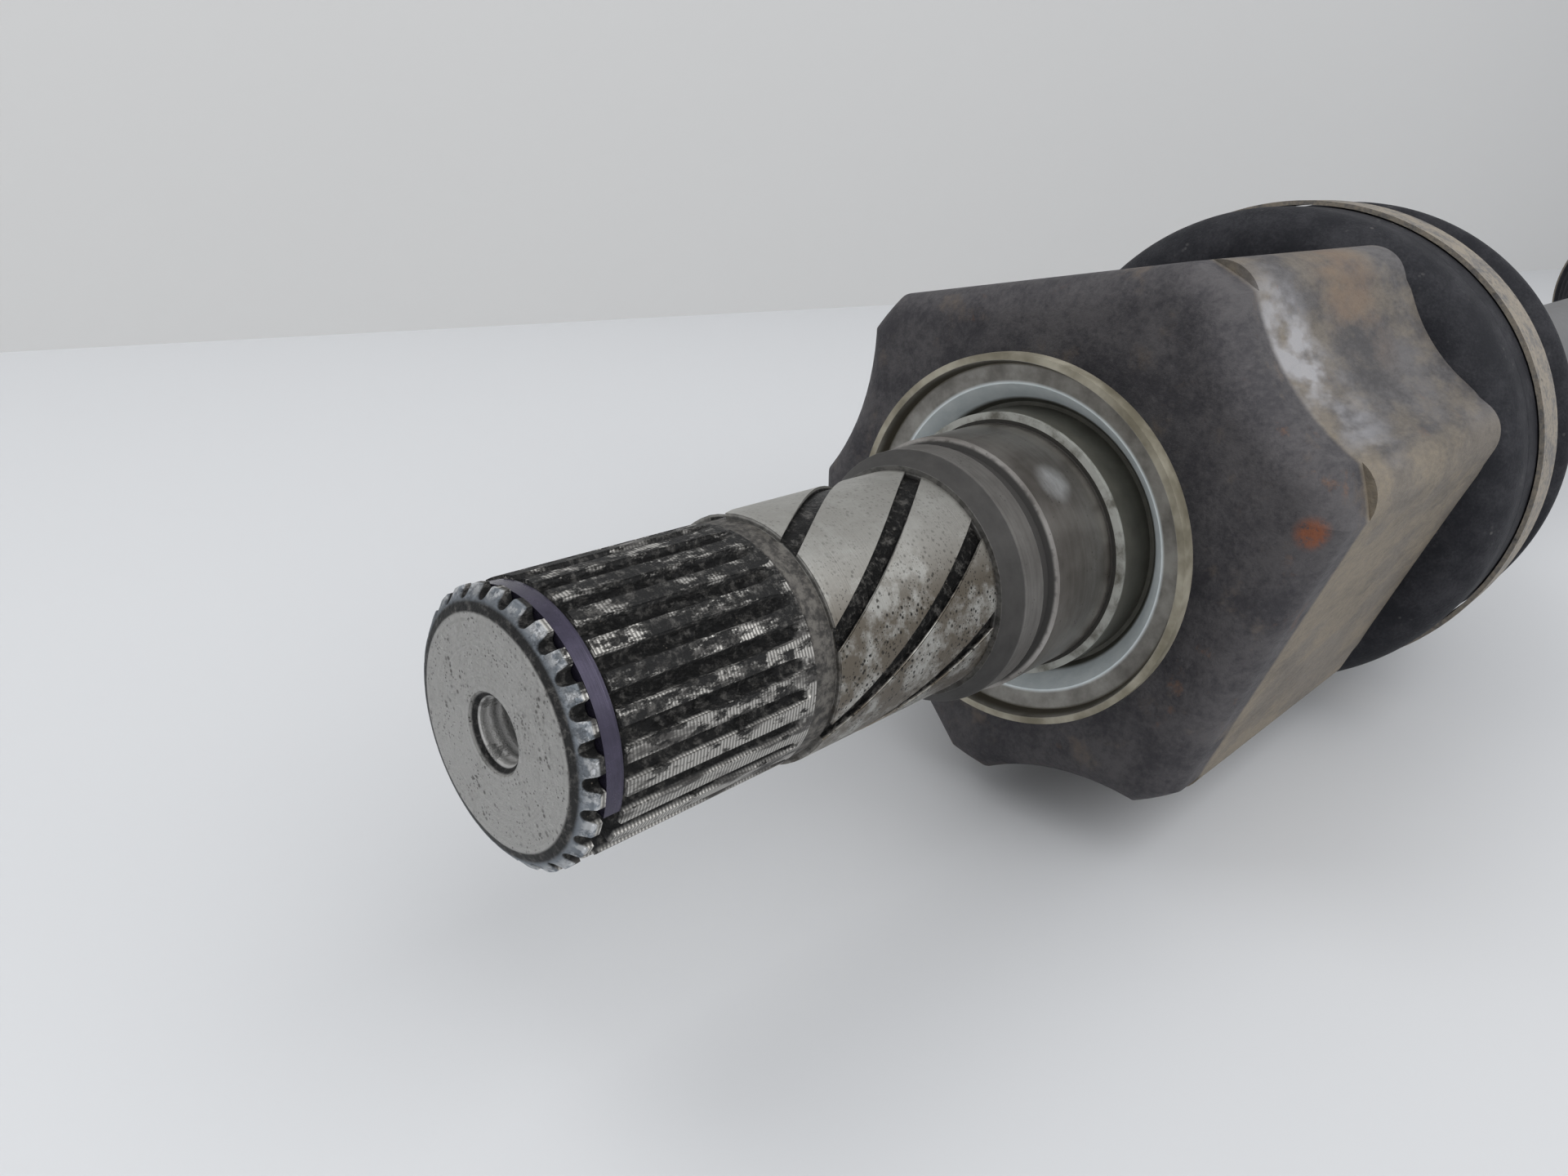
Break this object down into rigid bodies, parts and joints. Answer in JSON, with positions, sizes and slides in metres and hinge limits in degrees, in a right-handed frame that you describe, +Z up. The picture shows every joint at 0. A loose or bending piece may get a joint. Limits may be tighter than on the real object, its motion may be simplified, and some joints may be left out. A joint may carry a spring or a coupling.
{
  "type": "half shaft",
  "caption": "Drive half shaft: splined inner tripod joint that plunges and tilts, solid bar, rubber boots, and a ball joint with a splined, threaded wheel stub.",
  "frame": {"origin": "centre of the inner stub's end face, at the mouth of its tapped hole", "axes": "+X along the shaft from the inner stub to the wheel end, +Z up; the joints are straight at rest"},
  "size_m": [0.774, 0.0926, 0.0926],
  "materials": {
    "forged_steel": "forged and machined, oily",
    "spring_steel": "blued",
    "zinc_sheet": "zinc plated, dusty",
    "adaptor_rubber": "matte",
    "boot_rubber": "matte, dusty",
    "clamp_steel": "dusty band",
    "ground_steel": "ground",
    "bar_steel": "satin grey coat",
    "cage_steel": "ground, phosphated",
    "bearing_steel": "polished"
  },
  "bodies": {
    "inner_joint": {"inner_joint_housing": "forged_steel", "stub_circlip": "spring_steel", "dust_shield": "zinc_sheet", "inner_boot_adaptor": "adaptor_rubber", "inner_boot_big_clamp": "clamp_steel"},
    "plunging_boot": {"inner_boot": "boot_rubber"},
    "tilt_ring": {"needle_rollers_1": "bearing_steel"},
    "bar": {"shaft_bar": "bar_steel", "tripod_spider": "ground_steel", "spider_circlip": "spring_steel", "needle_rollers_2": "bearing_steel", "needle_rollers_3": "bearing_steel", "roller_retainer_1": "spring_steel", "roller_retainer_2": "spring_steel", "roller_retainer_3": "spring_steel", "inner_race": "ground_steel", "inner_race_circlip": "spring_steel", "inner_boot_small_clamp": "clamp_steel", "outer_boot_small_clamp": "clamp_steel"},
    "tripod_roller_1": {"roller_1": "ground_steel"},
    "tripod_roller_2": {"roller_2": "ground_steel"},
    "tripod_roller_3": {"roller_3": "ground_steel"},
    "half_steer_ball": {"ball_2": "bearing_steel"},
    "cage": {"ball_cage": "cage_steel", "ball_1": "bearing_steel", "ball_3": "bearing_steel", "ball_4": "bearing_steel", "ball_6": "bearing_steel", "outer_boot": "boot_rubber"},
    "half_bounce_ball": {"ball_5": "bearing_steel"},
    "wheel_bell": {"outer_race": "forged_steel", "outer_boot_big_clamp": "clamp_steel"}
  },
  "joints": [
    {"name": "inner_plunge", "type": "slide", "parent": "inner_joint", "child": "plunging_boot", "axis": [1, 0, 0], "range_m": [-0.015, 0.015], "deforming": ["inner_boot"]},
    {"name": "inner_tilt_across", "type": "hinge", "parent": "plunging_boot", "child": "tilt_ring", "pos_m": [0.152, 0, 0], "axis": [0, 0.9703, -0.2419], "range_deg": [-13, 13], "deforming": ["inner_boot"]},
    {"name": "inner_tilt_along", "type": "hinge", "parent": "tilt_ring", "child": "bar", "pos_m": [0.152, 0, 0], "axis": [0, 0.2419, 0.9703], "range_deg": [-13, 13], "deforming": ["inner_boot"]},
    {"name": "roller_1_spin", "type": "hinge", "parent": "tilt_ring", "child": "tripod_roller_1", "pos_m": [0.152, 0, 0], "axis": [0, 0.2419, 0.9703], "continuous": true},
    {"name": "roller_2_spin", "type": "hinge", "parent": "bar", "child": "tripod_roller_2", "pos_m": [0.152, 0, 0], "axis": [0, 0.7193, -0.6947], "continuous": true},
    {"name": "roller_3_spin", "type": "hinge", "parent": "bar", "child": "tripod_roller_3", "pos_m": [0.152, 0, 0], "axis": [0, -0.9613, -0.2756], "continuous": true},
    {"name": "outer_steer_bar_side", "type": "hinge", "parent": "bar", "child": "half_steer_ball", "pos_m": [0.657, 0, 0], "axis": [0, 0, 1], "range_deg": [-18, 18], "deforming": ["outer_boot"]},
    {"name": "outer_bounce_bar_side", "type": "hinge", "parent": "half_steer_ball", "child": "cage", "pos_m": [0.657, 0, 0], "axis": [0, 1, 0], "range_deg": [-8, 8], "deforming": ["outer_boot"]},
    {"name": "outer_bounce_wheel_side", "type": "hinge", "parent": "cage", "child": "half_bounce_ball", "pos_m": [0.657, 0, 0], "axis": [0, 1, 0], "range_deg": [-8, 8], "deforming": ["outer_boot"]},
    {"name": "outer_steer_wheel_side", "type": "hinge", "parent": "half_bounce_ball", "child": "wheel_bell", "pos_m": [0.657, 0, 0], "axis": [0, 0, 1], "range_deg": [-18, 18], "deforming": ["outer_boot"]}
  ],
  "couplings": [
    {"joint": "outer_bounce_wheel_side", "follows": "outer_bounce_bar_side", "ratio": 1},
    {"joint": "outer_steer_wheel_side", "follows": "outer_steer_bar_side", "ratio": 1}
  ]
}
